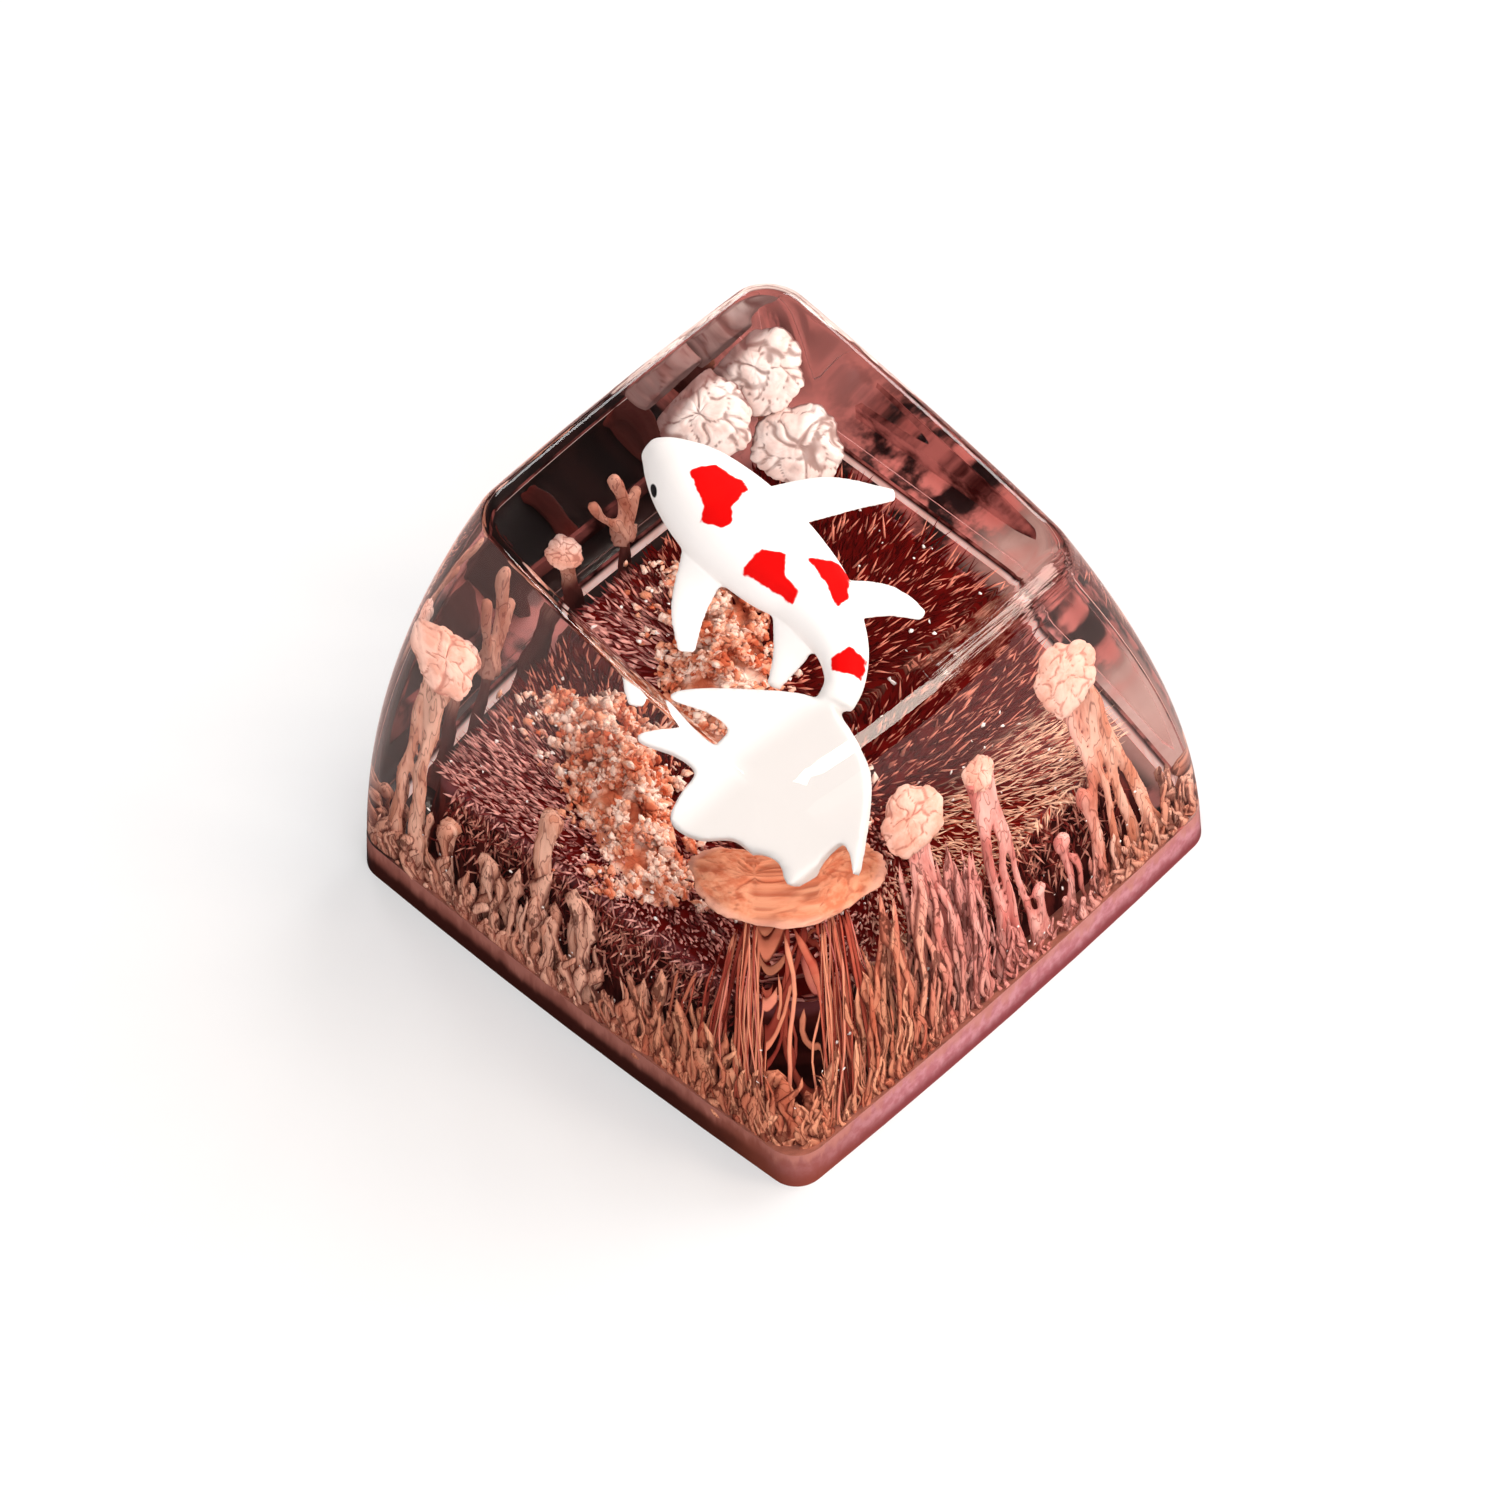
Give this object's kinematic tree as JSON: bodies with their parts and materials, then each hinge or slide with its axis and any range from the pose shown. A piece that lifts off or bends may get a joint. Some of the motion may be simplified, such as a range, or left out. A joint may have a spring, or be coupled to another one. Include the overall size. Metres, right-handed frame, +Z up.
{
  "type": "artisan keycap",
  "caption": "Tall sculpted keycap of clear resin with a tilted dished top, a koi figure and pigment plumes cast inside, and a slotted stem in a dark base.",
  "frame": {"origin": "on the axis of the stem, in the plane of the bottom rim", "axes": "+X right for the typist, +Y away from the typist, +Z up out of the keyboard"},
  "size_m": [0.0184, 0.0184, 0.016],
  "materials": {
    "clear_resin": "polished clear casting resin",
    "koi_paint": "matte white with red patches and black eyes",
    "plume_pigment": "salmon pigment, finely cracked",
    "mound_pigment": "pale pink crumbs of pigment",
    "rim_pigment": "glossy mauve pink pigmented resin",
    "dark_resin": "smooth dark maroon resin"
  },
  "bodies": {
    "root": {"clear_resin_body": "clear_resin", "koi_figure": "koi_paint", "pigment_plumes": "plume_pigment", "pigment_fringe": "plume_pigment", "curtain_veil": "plume_pigment", "pigment_mound": "mound_pigment", "pigment_rim": "rim_pigment", "stem_base": "dark_resin"}
  },
  "joints": []
}
